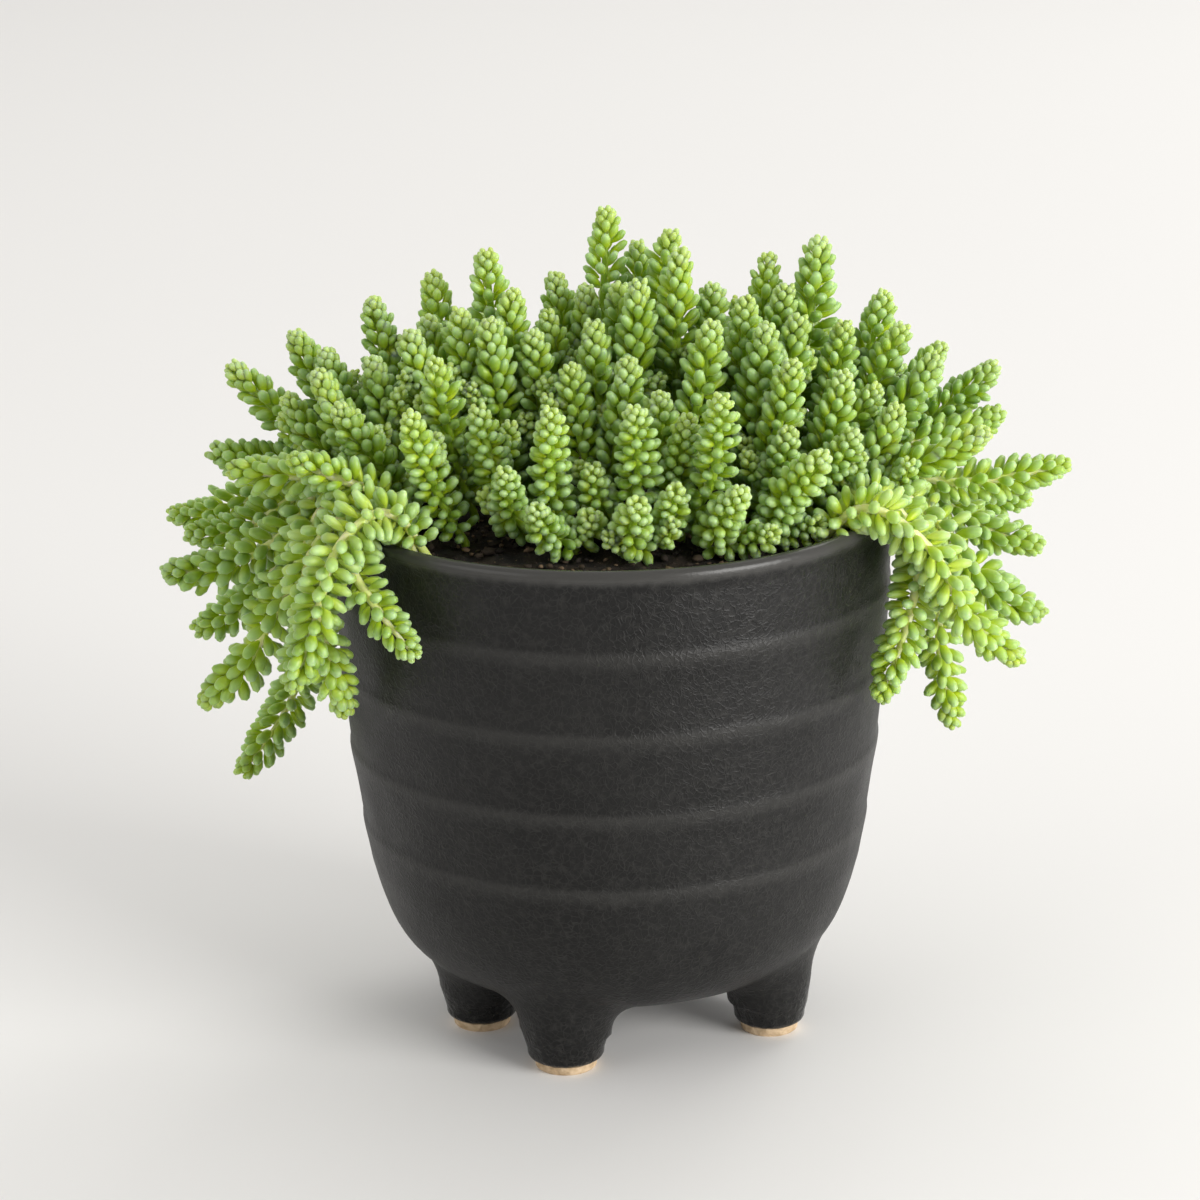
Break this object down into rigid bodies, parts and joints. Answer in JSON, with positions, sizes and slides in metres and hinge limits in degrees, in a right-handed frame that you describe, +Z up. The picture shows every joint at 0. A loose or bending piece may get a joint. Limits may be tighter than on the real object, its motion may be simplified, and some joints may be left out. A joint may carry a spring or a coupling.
{
  "type": "potted sedum",
  "caption": "Bushy trailing sedum with bead-like leaves in a round, dark stoneware pot on short feet.",
  "frame": {"origin": "on the surface the pot stands on, straight below the pot's own axis and in the middle of the whole plant's footprint", "axes": "+Z up along the pot's axis; -Y towards the side seen in the picture; +X to the right as seen there, along the plant's greatest spread"},
  "size_m": [0.244, 0.149, 0.217],
  "materials": {
    "glaze": "matt charcoal glaze",
    "potting_mix": "loose dark bark and peat",
    "sedum_leaf": "waxy living leaf"
  },
  "bodies": {
    "root": {"back_sprig_01": "sedum_leaf", "back_sprig_02": "sedum_leaf", "back_sprig_03": "sedum_leaf", "back_sprig_04": "sedum_leaf", "back_sprig_05": "sedum_leaf", "back_sprig_06": "sedum_leaf", "back_sprig_07": "sedum_leaf", "back_sprig_08": "sedum_leaf", "back_sprig_09": "sedum_leaf", "back_sprig_10": "sedum_leaf", "back_sprig_11": "sedum_leaf", "front_sprig_01": "sedum_leaf", "front_sprig_02": "sedum_leaf", "front_sprig_03": "sedum_leaf", "front_sprig_04": "sedum_leaf", "front_sprig_05": "sedum_leaf", "front_sprig_06": "sedum_leaf", "front_sprig_07": "sedum_leaf", "front_sprig_08": "sedum_leaf", "front_sprig_09": "sedum_leaf", "front_sprig_10": "sedum_leaf", "left_trailer_01": "sedum_leaf", "left_trailer_02": "sedum_leaf", "left_trailer_03": "sedum_leaf", "left_trailer_04": "sedum_leaf", "left_trailer_05": "sedum_leaf", "left_trailer_06": "sedum_leaf", "left_trailer_07": "sedum_leaf", "left_trailer_08": "sedum_leaf", "middle_sprig_01": "sedum_leaf", "middle_sprig_02": "sedum_leaf", "middle_sprig_03": "sedum_leaf", "middle_sprig_04": "sedum_leaf", "middle_sprig_05": "sedum_leaf", "middle_sprig_06": "sedum_leaf", "middle_sprig_07": "sedum_leaf", "middle_sprig_08": "sedum_leaf", "middle_sprig_09": "sedum_leaf", "middle_sprig_10": "sedum_leaf", "middle_sprig_11": "sedum_leaf", "middle_sprig_12": "sedum_leaf", "middle_sprig_13": "sedum_leaf", "middle_sprig_14": "sedum_leaf", "middle_sprig_15": "sedum_leaf", "pot": "glaze", "rear_sprig_01": "sedum_leaf", "rear_sprig_02": "sedum_leaf", "rear_sprig_03": "sedum_leaf", "rear_sprig_04": "sedum_leaf", "rear_sprig_05": "sedum_leaf", "rear_sprig_06": "sedum_leaf", "rear_sprig_07": "sedum_leaf", "rear_sprig_08": "sedum_leaf", "right_trailer_01": "sedum_leaf", "right_trailer_02": "sedum_leaf", "right_trailer_03": "sedum_leaf", "right_trailer_04": "sedum_leaf", "right_trailer_05": "sedum_leaf", "soil": "potting_mix"}
  },
  "joints": []
}
